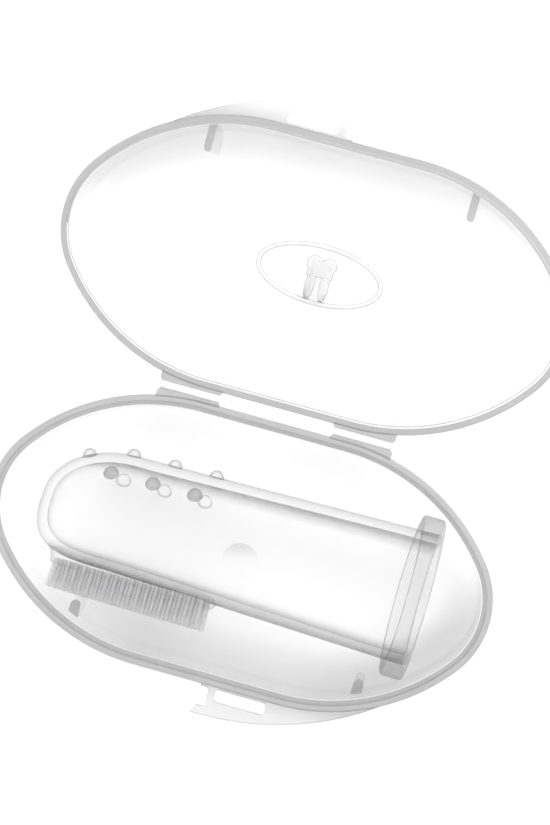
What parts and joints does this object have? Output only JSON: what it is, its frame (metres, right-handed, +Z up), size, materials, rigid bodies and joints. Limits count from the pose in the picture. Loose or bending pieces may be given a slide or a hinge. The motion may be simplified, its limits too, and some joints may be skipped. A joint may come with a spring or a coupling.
{
  "type": "finger toothbrush",
  "caption": "Clear silicone finger toothbrush with a bristle pad and massage nubs, lying in an open oval travel case with a living hinge.",
  "frame": {"origin": "on the surface the open case rests on, under the middle of the hinge", "axes": "+X along the hinge towards the brush's open mouth, +Y across the case towards the lid, +Z up"},
  "size_m": [0.0736, 0.0884, 0.0249],
  "materials": {
    "clear_case_plastic": "clear moulded polypropylene, glossy",
    "clear_silicone": "clear soft silicone, satin",
    "silicone_bristle": "clear soft silicone in fine tapered bristles"
  },
  "bodies": {
    "base": {"base_shell": "clear_case_plastic", "base_thumb_tab": "clear_case_plastic", "base_rib_left": "clear_case_plastic", "base_rib_right": "clear_case_plastic", "base_hinge_lug_left": "clear_case_plastic", "base_hinge_lug_right": "clear_case_plastic", "film_hinge_left": "clear_case_plastic", "film_hinge_right": "clear_case_plastic"},
    "lid": {"lid_shell": "clear_case_plastic", "lid_lip": "clear_case_plastic", "lid_thumb_tab": "clear_case_plastic", "lid_rib_left": "clear_case_plastic", "lid_rib_right": "clear_case_plastic", "lid_hinge_lug_left": "clear_case_plastic", "lid_hinge_lug_right": "clear_case_plastic", "lid_emblem": "clear_case_plastic"},
    "brush": {"brush_sleeve": "clear_silicone", "brush_collar": "clear_silicone", "bristle_pad": "clear_silicone", "bristle_field": "silicone_bristle", "bristle_end_columns": "silicone_bristle", "nub_row_middle": "clear_silicone", "nub_row_upper": "clear_silicone", "nub_row_lower": "clear_silicone"}
  },
  "joints": [
    {"name": "lid_hinge", "type": "hinge", "parent": "base", "child": "lid", "pos_m": [0, 0, 0.01405], "axis": [1, 0, 0], "range_deg": [0, 180], "deforming": ["film_hinge_left", "film_hinge_right"]},
    {"name": "brush_lift", "type": "slide", "parent": "base", "child": "brush", "axis": [0, 0, 1], "range_m": [0, 0.05]}
  ]
}
